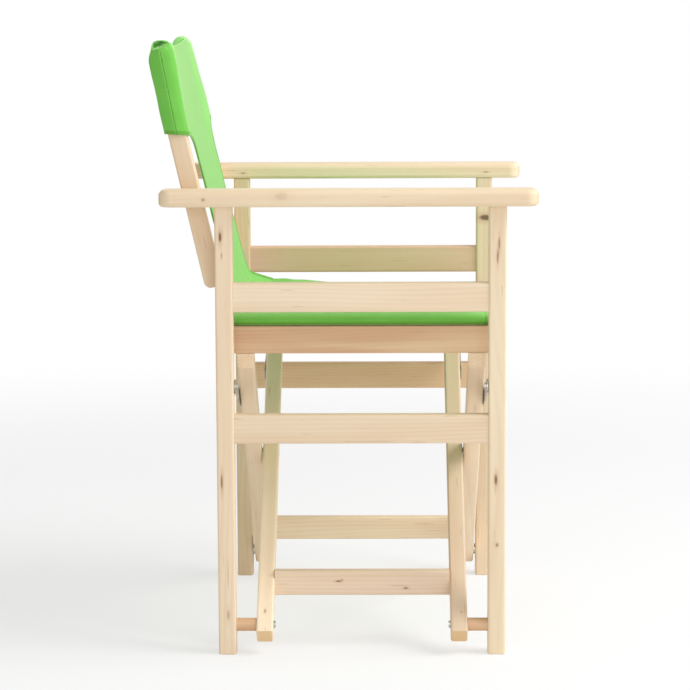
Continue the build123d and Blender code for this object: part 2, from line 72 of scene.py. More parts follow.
# Cloth
cloth_thick = 0.0012
weave_pitch = 0.0011
stitch_long = 0.0034
stitch_gap = 0.0012
stitch_radius = 0.00038
edge_hem = 0.009             # turned edge along the panel's top, the lower back and the seat
sleeve_hem = 0.0054          # turned edge at the sleeve's mouth
hem_rise = 0.0007            # how much thicker a turned edge is
hem_line = 0.8               # its stitches lie at this share of its width

# Back post and sleeve
back_tilt = math.radians(13.0)
sleeve_deep = 0.033          # the model's sleeve from front to rear
sleeve_dome = {"right": 0.018, "left": 0.016}    # height of the rounded top
sleeve_over = {"right": 0.0033, "left": -0.0006}  # the sleeve taller than the model's
flap_drop = 0.0046           # the outer side's tucked edge below the top
flap_in = 0.0190             # how far the tucked edge reaches inwards
flap_narrow = 0.55           # share of its depth that the tucked edge loses
seam_notch = 0.0022          # the same edge lower still at the seam
seam_lean = 0.0045           # the seam further to the front at the top than at the mouth
sleeve_slant = 0.29          # slope of the mouth, front lower than rear
sleeve_mouth_lift = 0.0012   # the mouth higher on the outer side
sleeve_loose = 0.0011        # height of the waves in the sleeve
sleeve_loose_in = 0.0003     # and their most inwards, where the post is
sleeve_full = {"right": 0.0052, "left": -0.0028}  # fullness in front of the post's top
sleeve_rear_narrow = {"right": 0.15, "left": 0.0}     # the rear lies closer to the post at the top
sleeve_rear_pinch = {"right": 0.33, "left": 0.10}     # the same again above the post's top
dome_rear = {"right": (1.55, 0.55), "left": (2.4, 0.50)}  # powers of the dome's curve at the rear
dome_front_power = {"right": 3.0, "left": 1.7}
top_sag = 0.005              # back panel's top edge below the sleeves, in the middle
panel_depth = 0.0095         # back panel in front of the back posts' middle line
panel_edge_depth = 0.0159    # the same beside the sleeves
panel_under = 0.0007         # the panel's edges dip under the sleeves' fronts by this much
panel_ease = 0.045           # width over which the two meet
panel_half = 0.2007          # to the sleeves' inner sides
panel_flat = 0.2050          # from here outwards the panel dips under the sleeves
panel_reach = 0.2095         # to the panel's own edges, inside the sleeves' fronts
panel_short = 0.004          # the panel's top edge below the sleeves' model tops
panel_low_lift = 0.0046      # lift of the panel's lower edge, less and less towards the sleeves
panel_wave = 0.0012          # height of the panel's waves
join_rows = 3                # rows of the lower back that go on inside the panel and the seat
join_behind = 0.0003         # how far behind the panel and under the seat those rows lie

# Lower back: its middle line and its edge line from the sleeves down to the seat, as (y, z)
low_middle = [(0.2105, 0.711), (0.2012, 0.682), (0.1880, 0.637), (0.1770, 0.594), (0.1650, 0.551),
              (0.1545, 0.507), (0.1445, 0.475), (0.1310, 0.4615), (0.1120, 0.4555)]
low_edge = [(0.2065, 0.711), (0.1982, 0.682), (0.1872, 0.637), (0.1775, 0.594), (0.1655, 0.551),
            (0.1570, 0.515), (0.1505, 0.4905), (0.1440, 0.4825), (0.1340, 0.4785), (0.1120, 0.4715)]
low_half = 0.160             # half width of the lower back
low_flare = 0.0075           # half width added again where it meets the seat
low_left_pull = 0.0018       # the left edge lies this much further to the front
cut_in = 0.012               # height over which the cut-in below the sleeves rounds out
low_drag = 0.0014            # height of the drag lines
low_crease = 0.0017          # height of the creases above the seat

# Seat
seat_front = -0.1995
seat_half = 0.1955
roll_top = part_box("seat_hem_a")[1].z + 0.0006
seat_sag = 0.0105
seat_rise_from = 0.31        # share of its length, from the front, where the seat starts to rise
left_tuck = 0.0045           # the seat's left edge lower, inside its roll
corner_rise = {"right": 0.004, "left": 0.0015}    # most that the rear corners beside the lower back rise
seat_wave = 0.0013           # height of the seat's waves
corner_wave = 0.0005         # height of the small creases at its rear corners

# Rolled seat edges over the battens
roll_power = {"a": 4.0, "b": 2.25}         # how square the roll is
roll_out = 0.0020            # the roll stands this far proud of the model's outer side
roll_over = {"a": -0.0020, "b": 0.0042}    # the roll's top over the model's
roll_wave = 0.0010           # height of its waves
roll_pinch = 0.0007          # the roll drawn in along the border of its turned ends
roll_pinch_at = 0.0060       # distance of that border from the ends

# Painted light and painted shade in the cloth's green, from -1 for painted shade where two layers lie to 1 for
# painted light on one layer with light behind it
back_painted_light = 0.34          # panel and lower back
back_edge_painted_light = 0.10     # added close to the sleeves
low_hem_painted_shade = -0.45
sleeve_hem_painted_shade = -0.5
roll_top_painted_light = 0.42          # the roll's top

# Stage and light
ambient = 0.54
floor_glow = 0.55            # share of the floor's own white near the chair
floor_half = 9.0
floor_plain = 1.1            # the shadow is kept within this distance of the chair
floor_white = 2.6            # beyond this the floor is plain white
floor_light = (0.92, 0.92, 0.92, 1.0)
floor_dark = (0.90, 0.90, 0.90, 1.0)
light_target = (0, 0, 0.45)  # the chair's middle


class Graph:
    """A material's node tree, with short calls for the nodes that are used here."""

    def __init__(self, name):
        self.material = bpy.data.materials.new(name)
        self.material.use_nodes = True
        self.tree = self.material.node_tree
        self.shader = self.tree.nodes["Principled BSDF"]

    def fill(self, socket, value):
        if isinstance(value, bpy.types.NodeSocket):
            self.tree.links.new(value, socket)
        else:
            socket.default_value = value

    def node(self, kind, inputs=None, **settings):
        made = self.tree.nodes.new(kind)
        for key, value in settings.items():
            setattr(made, key, value)
        for key, value in (inputs or {}).items():
            self.fill(made.inputs[key], value)
        return made

    def math(self, operation, first, second=0.0):
        return self.node("ShaderNodeMath", {0: first, 1: second}, operation=operation).outputs[0]

    def vector(self, operation, first, second):
        return self.node("ShaderNodeVectorMath", {0: first, 1: second}, operation=operation).outputs[0]

    def dot(self, vector, direction):
        made = self.node("ShaderNodeVectorMath", {0: vector, 1: direction}, operation="DOT_PRODUCT")
        return made.outputs["Value"]

    def join(self, x, y, z):
        return self.node("ShaderNodeCombineXYZ", {0: x, 1: y, 2: z}).outputs[0]

    def noise(self, vector, scale, detail=2.0, rough=0.5):
        made = self.node("ShaderNodeTexNoise",
                         {"Vector": vector, "Scale": scale, "Detail": detail, "Roughness": rough})
        return made.outputs[0]

    def ease(self, value, low, high, to_low=0.0, to_high=1.0):
        made = self.node("ShaderNodeMapRange", {0: value, 1: low, 2: high, 3: to_low, 4: to_high},
                         interpolation_type="SMOOTHSTEP")
        return made.outputs[0]

    def mix(self, share, first, second):
        made = self.node("ShaderNodeMix", {0: share, 6: first, 7: second}, data_type="RGBA")
        return made.outputs[2]

    def bump(self, height, strength, distance):
        made = self.node("ShaderNodeBump", {"Height": height, "Strength": strength, "Distance": distance})
        self.tree.links.new(made.outputs[0], self.shader.inputs["Normal"])

    def finish(self, colour, rough, **sockets):
        self.fill(self.shader.inputs["Base Color"], colour)
        self.fill(self.shader.inputs["Roughness"], rough)
        for key, value in sockets.items():
            self.fill(self.shader.inputs[key.replace("_", " ")], value)
        return self.material


def colour(red, green, blue):
    """Colour written in 0 to 255 screen values, as the linear colour that a shader takes."""
    def linear(value):
        share = value / 255
        return share / 12.92 if share <= 0.04045 else ((share + 0.055) / 1.055) ** 2.4
    return (linear(red), linear(green), linear(blue), 1.0)


# Wood

pale_light = colour(243, 222, 192)
pale_dark = colour(236, 210, 178)
warm_light = colour(221, 185, 147)
warm_dark = colour(206, 161, 124)
end_grain = colour(221, 184, 127)
knot_colour = colour(98, 70, 52)
knot_halo = colour(206, 160, 122)
fleck_colour = colour(176, 134, 100)


def side_vectors(grain):
    """Two directions across the grain."""
    side = grain.cross(Vector((0.31, 0.83, 0.47))).normalized()
    return side, grain.cross(side).normalized()


def wood(name, grain, light, dark, seed, ring_depth, knots):
    """Bare sanded wood. knots holds (centre, length along the grain, width, strength)."""
    g = Graph(name)
    grain = Vector(grain).normalized()
    side, cross = side_vectors(grain)
    place = g.node("ShaderNodeTexCoord").outputs["Object"]
    shift = Vector((7.3, 3.1, 5.7)) * seed
    moved = g.vector("ADD", place, shift)
    across = g.dot(moved, side)
    depth = g.dot(moved, cross)
    along = g.dot(moved, grain)

    def drawn_out(share):
        """A place whose length along the grain is cut to a share, so that what it shows is long."""
        return g.join(across, depth, g.math("MULTIPLY", along, share))

    slow = drawn_out(0.07)
    broad = g.noise(slow, 42.0, 2.0)
    base = g.mix(g.ease(broad, 0.32, 0.70), light, dark)

    # Growth rings round a pith line that lies outside the board
    wander = g.math("MULTIPLY", g.noise(drawn_out(0.22), 9.0, 1.0), 0.030)
    pith = 0.034
    ring_pitch = 0.0034
    from_pith = g.math("POWER", g.math("ADD", across, pith), 2.0)
    from_pith = g.math("POWER", g.math("ADD", from_pith, g.math("POWER", depth, 2.0)), 0.5)
    radius = g.math("ADD", from_pith, wander)
    band = g.math("FRACT", g.math("DIVIDE", radius, ring_pitch))
    late_wood = g.math("MULTIPLY", g.ease(band, 0.35, 0.95), g.ease(band, 1.0, 0.95))
    patchy = g.ease(g.noise(slow, 16.0, 1.0), 0.35, 0.65, 0.25, 1.0)
    ring_share = g.math("MULTIPLY", g.math("MULTIPLY", late_wood, patchy), ring_depth * 2.4)
    base = g.mix(ring_share, base, fleck_colour)

    # Fine fibres and short dark flecks
    fibre = g.noise(drawn_out(0.03), 620.0, 2.0, 0.6)
    base = g.mix(g.ease(fibre, 0.45, 0.85, 0.0, 0.22), base, dark)
    fleck = g.noise(drawn_out(0.06), 330.0, 1.0)
    base = g.mix(g.ease(fleck, 0.69, 0.76, 0.0, 0.30), base, fleck_colour)

    # Sawn ends show darker
    normal = g.node("ShaderNodeTexCoord").outputs["Normal"]
    facing = g.math("ABSOLUTE", g.dot(normal, grain))
    base = g.mix(g.ease(facing, 0.70, 1.0, 0.0, 0.75), base, end_grain)

    for centre, long, wide, strength in knots:
        offset = g.vector("SUBTRACT", place, Vector(centre))
        wobble = g.math("MULTIPLY", g.math("SUBTRACT", g.noise(place, 190.0, 2.0), 0.5), wide * 1.6)
        a = g.math("DIVIDE", g.math("ADD", g.dot(offset, side), wobble), wide)
        b = g.math("DIVIDE", g.dot(offset, cross), wide)
        c = g.math("DIVIDE", g.dot(offset, grain), long)
        squares = g.math("ADD", g.math("MULTIPLY", a, a), g.math("MULTIPLY", b, b))
        reach = g.math("POWER", g.math("ADD", squares, g.math("MULTIPLY", c, c)), 0.5)
        base = g.mix(g.ease(reach, 2.6, 0.9, 0.0, 0.55 * strength), base, knot_halo)
        base = g.mix(g.ease(reach, 1.15, 0.45, 0.0, strength), base, knot_colour)

    g.bump(g.math("ADD", g.math("MULTIPLY", fibre, 0.6), g.math("MULTIPLY", late_wood, 0.25)), 0.16, 0.0005)
    return g.finish(base, g.ease(fibre, 0.3, 0.8, 0.52, 0.66), Specular_IOR_Level=0.32)


# Cloth, thread and steel

green_light = colour(116, 194, 80)
green_dark = colour(108, 186, 73)
thread_green = colour(100, 177, 66)
green_painted_light = colour(180, 253, 152)    # painted light: a paler green, for a single layer with light behind it
green_painted_shade = colour(84, 137, 32)    # painted shade: a darker green, on turned edges and under a roll


def cloth_material(name):
    """Plain woven canvas; the cloth's own flat lengths run the weave."""
    g = Graph(name)
    flat = g.node("ShaderNodeSeparateXYZ", {0: g.node("ShaderNodeTexCoord").outputs["UV"]}).outputs
    turn = math.pi / weave_pitch
    warp = g.math("SINE", g.math("MULTIPLY", flat[0], turn))
    weft = g.math("SINE", g.math("MULTIPLY", flat[1], turn))
    over = g.math("MULTIPLY", warp, weft)
    thread = g.math("MAXIMUM", g.math("ABSOLUTE", warp), g.math("ABSOLUTE", weft))
    weave = g.math("ADD", g.math("MULTIPLY", over, 0.5), g.math("MULTIPLY", thread, 0.5))
    place = g.node("ShaderNodeTexCoord").outputs["Object"]
    slub = g.noise(g.join(g.math("MULTIPLY", flat[0], 0.04), flat[1], 0.0), 900.0, 2.0)
    cloudy = g.noise(place, 26.0, 3.0)
    tone = g.math("ADD", g.math("MULTIPLY", cloudy, 0.82), g.math("MULTIPLY", slub, 0.18))
    base = g.mix(g.ease(tone, 0.25, 0.75), green_light, green_dark)
    base = g.mix(g.ease(weave, 0.1, -0.6, 0.0, 0.30), base, thread_green)
    # Painted light and painted shade: this attribute turns the green paler above 0 and darker below 0.
    through = g.node("ShaderNodeAttribute", attribute_name="painted_light_and_shade").outputs["Fac"]
    base = g.mix(g.ease(through, 0.0, 1.0, 0.0, 0.9), base, green_painted_light)
    base = g.mix(g.ease(through, 0.0, -1.0), base, green_painted_shade)
    g.bump(weave, 0.30, 0.0003)
    return g.finish(base, g.ease(slub, 0.3, 0.7, 0.74, 0.86), Specular_IOR_Level=0.22, Sheen_Weight=1.0,
                    Sheen_Roughness=0.40, Sheen_Tint=colour(220, 255, 194))


def thread_material(name):
    """Twisted sewing thread."""
    g = Graph(name)
    place = g.node("ShaderNodeTexCoord").outputs["Object"]
    twist = g.noise(place, 1500.0, 1.0)
    base = g.mix(g.ease(twist, 0.3, 0.7), thread_green, green_light)
    g.bump(twist, 0.3, 0.0002)
    return g.finish(base, g.ease(twist, 0.3, 0.7, 0.55, 0.7), Sheen_Weight=0.1)


def steel_material(name):
    """Zinc-plated steel with a faint spangle and a cloudy tone."""
    g = Graph(name)
    place = g.node("ShaderNodeTexCoord").outputs["Object"]
    spangle = g.noise(place, 420.0, 3.0)
    cloudy = g.noise(place, 60.0, 2.0)
    base = g.mix(g.ease(cloudy, 0.35, 0.65), colour(206, 206, 198), colour(178, 178, 166))
    base = g.mix(g.ease(spangle, 0.55, 0.8, 0.0, 0.4), base, colour(150, 146, 130))
    g.bump(spangle, 0.12, 0.0002)
    return g.finish(base, g.ease(spangle, 0.3, 0.7, 0.26, 0.44), Metallic=1.0)


canvas = cloth_material("green_canvas")
thread = thread_material("green_thread")
steel = steel_material("zinc_steel")


# Sheets of cloth

def curve_through(points, count):
    """Evenly counted points on a smooth curve through the given ones."""
    given = np.array(points, float)
    last = len(given) - 1
    ends = np.vstack([2 * given[0] - given[1], given, 2 * given[-1] - given[-2]])
    made = []
    for step in np.linspace(0, last, count):
        i = min(int(step), last - 1)
        t = step - i
        a, b, c, d = ends[i], ends[i + 1], ends[i + 2], ends[i + 3]
        made.append(0.5 * (2 * b + (c - a) * t + (2 * a - 5 * b + 4 * c - d) * t ** 2
                           + (3 * b - a - 3 * c + d) * t ** 3))
    return np.array(made)


def evenly(points, count):
    """The same line, sampled at even lengths."""
    steps = np.linalg.norm(np.diff(points, axis=0), axis=1)
    length = np.concatenate([[0], np.cumsum(steps)])
    wanted = np.linspace(0, length[-1], count)
    return np.column_stack([np.interp(wanted, length, points[:, k]) for k in range(points.shape[1])])


def smooth(value, low, high):
    """0 up to low, 1 from high on, and an even turn between them."""
    t = np.clip((np.asarray(value, float) - low) / (high - low), 0, 1)
    return t * t * (3 - 2 * t)


def ripple(points, pitch, seed):
    """Soft irregular waves between -1 and 1 at each point."""
    flat = points.reshape(-1, 3)
    values = [noise.noise(Vector(p) / pitch + Vector((seed, 2.7 * seed, 1.3))) for p in flat]
    return np.array(values).reshape(points.shape[:-1])


def grid_normals(rows, looped=False):
    """Directions straight off a grid of points."""
    over = np.roll(rows, -1, 1) - np.roll(rows, 1, 1) if looped else np.gradient(rows, axis=1)
    up = np.gradient(rows, axis=0)
    normal = np.cross(over, up)
    return normal / np.maximum(np.linalg.norm(normal, axis=2, keepdims=True), 1e-12)


class Sheet:
    """A grid of points that becomes a cloth of real thickness, with rows of stitches on it.

    rows is an array (rows, columns, 3). A looped sheet joins its last column to its first.
    extra and back_extra are added to the thickness in front and behind, as in a turned edge."""

    def __init__(self, rows, looped=False, extra=None, back_extra=None, normal=None):
        self.rows = rows
        self.looped = looped
        self.extra = np.zeros(rows.shape[:2]) if extra is None else extra
        self.back_extra = np.zeros(rows.shape[:2]) if back_extra is None else back_extra
        self.normal = grid_normals(rows, looped) if normal is None else normal
        self.stitches = []
        # through holds painted light and painted shade for each point: above 0 a paler green, below 0 a darker
        # one.
        self.through = None

    def face(self):
        """Points of the front face."""
        return self.rows + self.normal * (cloth_thick / 2 + self.extra)[..., None]

    def sew(self, line, front=True):
        """Stitches along a line of the sheet: a list of (row, column) places, whole or broken numbers."""
        sign = 1 if front else -1
        half = cloth_thick / 2 + (self.extra if front else self.back_extra)
        points = self.rows + sign * self.normal * half[..., None]
        path, outs = [], []
        for row, column in line:
            i, j = int(math.floor(row)), int(math.floor(column))
            s, t = row - i, column - j
            i2 = min(i + 1, self.rows.shape[0] - 1)
            j2 = (j + 1) % self.rows.shape[1] if self.looped else min(j + 1, self.rows.shape[1] - 1)
            corners = [((1 - s) * (1 - t), i, j), (s * (1 - t), i2, j),
                       ((1 - s) * t, i, j2), (s * t, i2, j2)]
            path.append(sum(w * points[a, b] for w, a, b in corners))
            out = sum(w * sign * self.normal[a, b] for w, a, b in corners)
            outs.append(out / np.linalg.norm(out))
        path, outs = np.array(path), np.array(outs)
        steps = np.linalg.norm(np.diff(path, axis=0), axis=1)
        length = np.concatenate([[0], np.cumsum(steps)])

        def at_length(values, s):
            return np.array([np.interp(s, length, values[:, k]) for k in range(3)])

        at = stitch_gap
        while at + stitch_long < length[-1]:
            middle = at + stitch_long / 2
            places = [at_length(path, s) for s in (at, middle, at + stitch_long)]
            self.stitches.append(places + [at_length(outs, middle)])
            at += stitch_long + stitch_gap

    def build(self, name):
        """The finished piece: both faces, the rims between them and the stitches."""
        n, m = self.rows.shape[:2]
        front = self.face().reshape(-1, 3)
        back = (self.rows - self.normal * (cloth_thick / 2 + self.back_extra)[..., None]).reshape(-1, 3)
        points = [tuple(p) for p in np.vstack([front, back])]
        size = n * m
        across = np.zeros((n, m + 1))
        across[:, 1:m] = np.cumsum(np.linalg.norm(np.diff(self.rows, axis=1), axis=2), axis=1)
        across[:, m] = across[:, m - 1] + np.linalg.norm(self.rows[:, 0] - self.rows[:, m - 1], axis=1)
        across[:, :] -= across[:, m // 2:m // 2 + 1]
        rise = np.zeros((n, m))
        rise[1:] = np.cumsum(np.linalg.norm(np.diff(self.rows, axis=0), axis=2), axis=0)
        faces, places = [], []
        rims = set()

        def corner(i, j, side):
            return side * size + i * m + j % m

        def flat_place(i, j):
            return (across[i, j], rise[i, j % m])

        def quad(spots, side):
            faces.append([corner(i, j, s) for (i, j), s in zip(spots, side)])
            places.extend(flat_place(i, j) for i, j in spots)

        def rim(spots, side):
            quad(spots, side)
            for a, b in zip(faces[-1], faces[-1][1:] + faces[-1][:1]):
                if a // size == b // size:
                    rims.add(frozenset((a, b)))

        columns = m if self.looped else m - 1
        for i in range(n - 1):
            for j in range(columns):
                around = [(i, j), (i, j + 1), (i + 1, j + 1), (i + 1, j)]
                quad(around, [0] * 4)
                quad(around[::-1], [1] * 4)
        face_count = len(faces)
        for j in range(columns):
            rim([(0, j), (0, j), (0, j + 1), (0, j + 1)], [0, 1, 1, 0])
            rim([(n - 1, j), (n - 1, j + 1), (n - 1, j + 1), (n - 1, j)], [0, 0, 1, 1])
        if not self.looped:
            for i in range(n - 1):
                rim([(i, 0), (i + 1, 0), (i + 1, 0), (i, 0)], [0, 0, 1, 1])
                rim([(i, m - 1), (i, m - 1), (i + 1, m - 1), (i + 1, m - 1)], [0, 1, 1, 0])
        cloth_faces = len(faces)
        for stitch in self.stitches:
            add_stitch(points, faces, places, stitch)
        mesh = bpy.data.meshes.new(name)
        mesh.from_pydata(points, [], faces)
        mesh.materials.append(canvas)
        mesh.materials.append(thread)
        layer = mesh.uv_layers.new(name="flat_lengths")
        layer.data.foreach_set("uv", np.array(places, np.float32).ravel())
        index = np.zeros(len(faces), np.int32)
        index[cloth_faces:] = 1
        mesh.polygons.foreach_set("material_index", index)
        if self.through is not None:
            light = mesh.attributes.new("painted_light_and_shade", "FLOAT", "POINT")
            values = np.zeros(len(points), np.float32)
            values[:2 * size] = np.tile(self.through.ravel(), 2)
            light.data.foreach_set("value", values)
        soft = np.ones(len(faces), bool)
        soft[face_count:cloth_faces] = False
        mesh.polygons.foreach_set("use_smooth", soft)
        mesh.update()
        for edge in mesh.edges:
            edge.use_edge_sharp = frozenset(edge.vertices) in rims
        piece = bpy.data.objects.new(name, mesh)
        bpy.context.scene.collection.objects.link(piece)
        return piece


def add_stitch(points, faces, places, stitch):
    """One short length of thread that dips into the cloth at both ends."""
    sides = 6
    start, middle, end, out = stitch
    run = (end - start) / np.linalg.norm(end - start)
    across = np.cross(out, run)
    across /= np.linalg.norm(across)
    stations = [(start, -0.6, 0.7), (0.7 * start + 0.3 * middle, 0.35, 1.0), (middle, 0.6, 1.05),
                (0.7 * end + 0.3 * middle, 0.35, 1.0), (end, -0.6, 0.7)]
    first = len(points)
    for place, lift, grow in stations:
        for k in range(sides):
            turn = 2 * math.pi * k / sides
            spot = (place + out * stitch_radius * (lift + grow * math.sin(turn))
                    + across * stitch_radius * 1.2 * grow * math.cos(turn))
            points.append(tuple(spot))
    for i in range(len(stations) - 1):
        for k in range(sides):
            a = first + i * sides + k
            b = first + i * sides + (k + 1) % sides
            faces.append([a, b, b + sides, a + sides])
            places.extend([(0.0, 0.0)] * 4)
    for cap in (list(range(first + sides - 1, first - 1, -1)),
                list(range(first + (len(stations) - 1) * sides, first + len(stations) * sides))):
        faces.append(cap)
        places.extend([(0.0, 0.0)] * sides)


# Back sleeves: one on each back post, with a seam on the outer side and the outer top edge tucked in

def sleeve_frame(side_word):
    """Middle of the sleeve, and its directions: outwards, rearwards and up along the post."""
    low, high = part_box(side_word + "_back_sleeve")
    middle = np.array((low + high) / 2)
    outward = np.array([1.0 if middle[0] > 0 else -1.0, 0, 0])
    up = np.array([0, math.sin(back_tilt), math.cos(back_tilt)])
    rear = np.array([0, math.cos(back_tilt), -math.sin(back_tilt)])
    long = (high.z - low.z - sleeve_deep * math.sin(back_tilt)) / math.cos(back_tilt)
    return middle, outward, rear, up, long


# Round the sleeve from its seam over the rear, the inner side and the front, as (outwards, rearwards)
sleeve_round = [(0.0146, 0.0010), (0.0138, 0.0048), (0.0118, 0.0105), (0.0085, 0.0152), (0.0035, 0.0163),
                (-0.0035, 0.0160), (-0.0090, 0.0142), (-0.0122, 0.0090), (-0.0131, 0.0000),
                (-0.0130, -0.0085), (-0.0118, -0.0140), (-0.0070, -0.0162), (0.0010, -0.0164),
                (0.0070, -0.0155), (0.0104, -0.0120), (0.0126, -0.0065), (0.0140, -0.0016)]
seam_groove = [(0.0143, -0.0009), (0.0128, -0.0003), (0.0134, 0.0004)]


def outer_side(outward_part):
    """1 on the sleeve's outer side and 0 on the rest of it."""
    return smooth(outward_part, 0.003, 0.011)


def flap(outward_part, rear_part, t):
    """The tucked edge's way inwards and down, at a share of the dome's height."""
    outer = outer_side(outward_part)
    drop = flap_drop * (1 - 0.8 * smooth(-rear_part, 0.001, 0.013))
    drop = drop + seam_notch * np.exp(-(rear_part / 0.0017) ** 2) * (1 - smooth(t, 0.55, 0.75))
    return outer * flap_in * smooth(t, 0.45, 1.0), outer * drop * smooth(t, 0.15, 0.9)


def dome_front(side_word, t):
    """Share of the front's depth that is left at a share of the dome's height."""
    return np.sqrt(np.clip(1 - t ** dome_front_power[side_word], 0, 1))


def front_fullness(side_word, share):
    """Loose cloth in front of the post, at a share of the sleeve's height."""
    return sleeve_full[side_word] * smooth(share, 0.1, 0.95)


def back_sleeve(side_word):
    """One sleeve, from its mouth up to its rounded top."""
    middle, outward, rear, up, model_long = sleeve_frame(side_word)
    long = model_long + sleeve_over[side_word]
    dome = sleeve_dome[side_word]
    seed = 3.0 if side_word == "left" else 8.0
    loop = evenly(curve_through(sleeve_round, 400), 150)
    loop = np.vstack([loop, seam_groove])
    heights = np.concatenate([np.linspace(0, sleeve_hem * 1.3, 9),
                              np.linspace(sleeve_hem * 1.5, long - dome, 64),
                              long - dome * (1 - np.sin(np.linspace(0.03, 0.5, 26) * math.pi))])
    rear_power, rear_root = dome_rear[side_word]
    tongue = outer_side(loop[:, 0])
    rows = []
    for h in heights:
        t = min(max(0.0, (h - (long - dome)) / dome), 0.995)
        inward, lower = flap(loop[:, 0], loop[:, 1], t)
        a = loop[:, 0] * (1 - 0.06 * t ** 2) - inward
        narrow = sleeve_rear_narrow[side_word] * h / long
        narrow = narrow + sleeve_rear_pinch[side_word] * smooth(h, long - 0.027, long - 0.006)
        b = np.where(loop[:, 1] > 0, loop[:, 1] * (1 - narrow), loop[:, 1])
        b = b - front_fullness(side_word, h / long) * np.clip(-loop[:, 1] / 0.016, 0, 1)
        domed = np.where(b > 0, b * (1 - t ** rear_power) ** rear_root, b * dome_front(side_word, t))
        b = domed * (1 - tongue) + b * (1 - flap_narrow * t) * tongue
        b = b - seam_lean * h / long * smooth(loop[:, 0], 0.009, 0.0135)
        mouth = 1 - smooth(h, 0, long * 0.5)
        lift = mouth * (sleeve_slant * b + sleeve_mouth_lift * np.clip(loop[:, 0] / 0.014, 0, 1))
        loose = sleeve_loose * (1 - 0.5 * mouth)
        height = h - model_long / 2 + lift - lower
        spots = middle + np.outer(a, outward) + np.outer(b, rear) + np.outer(height, up)
        wave = np.maximum(ripple(spots, 0.030, seed) * loose, -sleeve_loose_in) * (1 - t)
        direction = np.column_stack([a, b]) / np.maximum(np.hypot(a, b), 1e-6)[:, None]
        spots = spots + np.outer(direction[:, 0] * wave, outward) + np.outer(direction[:, 1] * wave, rear)
        rows.append(spots)
    rows = np.array(rows)
    in_hem = 1 - smooth(heights, sleeve_hem * 0.92, sleeve_hem * 1.08)
    extra = 1.5 * hem_rise * in_hem
    extra = extra - 0.4 * hem_rise * np.exp(-((heights - sleeve_hem * 1.2) / 0.0007) ** 2)
    extra = np.repeat(extra[:, None], rows.shape[1], 1)
    above_post = smooth(heights, long - 0.040, long - 0.006)
    inner_side = smooth(-loop[:, 0], -0.011, 0.004)
    if outward[0] > 0:
        rows = rows[:, ::-1]
        inner_side = inner_side[::-1]
    sheet = Sheet(rows, looped=True, extra=extra)
    # Painted light: a paler green on the sleeve's inner side, most above the post's top; painted shade: a darker
    # green on the turned edge at the mouth.
    light = np.outer(0.5 + 0.5 * above_post, inner_side)
    sheet.through = light * (1 - in_hem)[:, None] + sleeve_hem_painted_shade * in_hem[:, None]
    hem_row = float(np.interp(sleeve_hem * 0.82, heights, np.arange(len(heights))))
    sheet.sew([(hem_row, j) for j in range(rows.shape[1])])
    piece = sheet.build(side_word + "_sleeve_cloth")
    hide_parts(side_word + "_back_sleeve")
    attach(piece, "side_frame_" + side_word)


# Back panel, lower back and seat

right_middle, _, rear_way, up_way, sleeve_length = sleeve_frame("right")


def panel_front(x, share):
    """How far the panel lies in front of the posts' middle line, at a share of the sleeves' height."""
    edge = smooth(np.abs(x), panel_half - panel_ease, panel_half)
    full = np.where(x < 0, front_fullness("right", share), front_fullness("left", share))
    under = panel_under * smooth(np.abs(x), panel_flat, panel_reach)
    from_top = (1 - share) * sleeve_length
    lean = np.zeros_like(x)
    for word, sign in (("right", -1), ("left", 1)):
        t = np.clip(1 - (from_top + panel_short + sleeve_over[word]) / sleeve_dome[word], 0, 1)
        lean = np.where(sign * x > 0, panel_edge_depth * (1 - dome_front(word, t)), lean)
    return panel_depth + (panel_edge_depth - panel_depth + full) * edge - under - lean * edge


def edge_columns(count):
    """Places from -1 to 1 across a sheet, closer together at both edges."""
    t = np.linspace(-1, 1, count)
    return np.sign(t) * (1 - (1 - np.abs(t)) ** 1.35)


def hem_at_edges(rows, wide, both_sides=True, top=False):
    """Added thickness of the turned edges of a sheet."""
    from_left = np.linalg.norm(rows - rows[:, :1], axis=2)
    from_right = np.linalg.norm(rows - rows[:, -1:], axis=2)
    near = np.minimum(from_left, from_right) if both_sides else np.full(rows.shape[:2], 1.0)
    if top:
        near = np.minimum(near, np.linalg.norm(rows - rows[-1:], axis=2))
    return hem_rise * (1 - smooth(near, wide * 0.94, wide * 1.06))


def column_at(rows, distance, from_first):
    """Broken column number at a distance from one edge, for each row."""
    places = []
    for i in range(rows.shape[0]):
        line = rows[i] if from_first else rows[i, ::-1]
        length = np.concatenate([[0], np.cumsum(np.linalg.norm(np.diff(line, axis=0), axis=1))])
        at = float(np.interp(distance, length, np.arange(len(length))))
        places.append((i, at if from_first else rows.shape[1] - 1 - at))
    return places


def row_at(rows, distance, from_first):
    """Broken row number at a distance from the first or last row, for each column."""
    turned = column_at(np.swapaxes(rows, 0, 1), distance, from_first)
    return [(row, column) for column, row in turned]


def panel_rows():
    """The panel between the sleeves, from its lower edge to its top."""
    x = edge_columns(91) * panel_reach
    heights = np.linspace(0, 1, 60)
    rows = []
    for h in heights:
        drop = top_sag * (1 - (x / panel_reach) ** 2) * h ** 2
        along = -sleeve_length / 2 + h * (sleeve_length - panel_short) - drop
        front = panel_front(x, h)
        slant = -sleeve_slant * front * (1 - smooth(h, 0, 0.5))
        along = along + slant + panel_low_lift * (1 - smooth(h, 0, 0.5)) * (1 - front / panel_edge_depth)
        spots = np.column_stack([x, np.zeros_like(x), np.zeros_like(x)])
        spots[:, 1:] += right_middle[1:]
        spots += np.outer(-front, rear_way) + np.outer(along, up_way)
        rows.append(spots)
    rows = np.array(rows)
    fade = np.sin(heights * math.pi)[:, None] * (1 - (x / panel_reach) ** 4)
    rows[..., 1] += panel_wave * fade * ripple(rows * np.array([1.0, 0.3, 0.35]), 0.05, 5.0)
    return rows


def back_cloth_painted_light(rows):
    """Painted light over the single cloth of the back, standing for light that comes through it, and a little more
    close to the sleeves.
    """
    return back_painted_light + back_edge_painted_light * smooth(np.abs(rows[..., 0]), 0.150, 0.190)


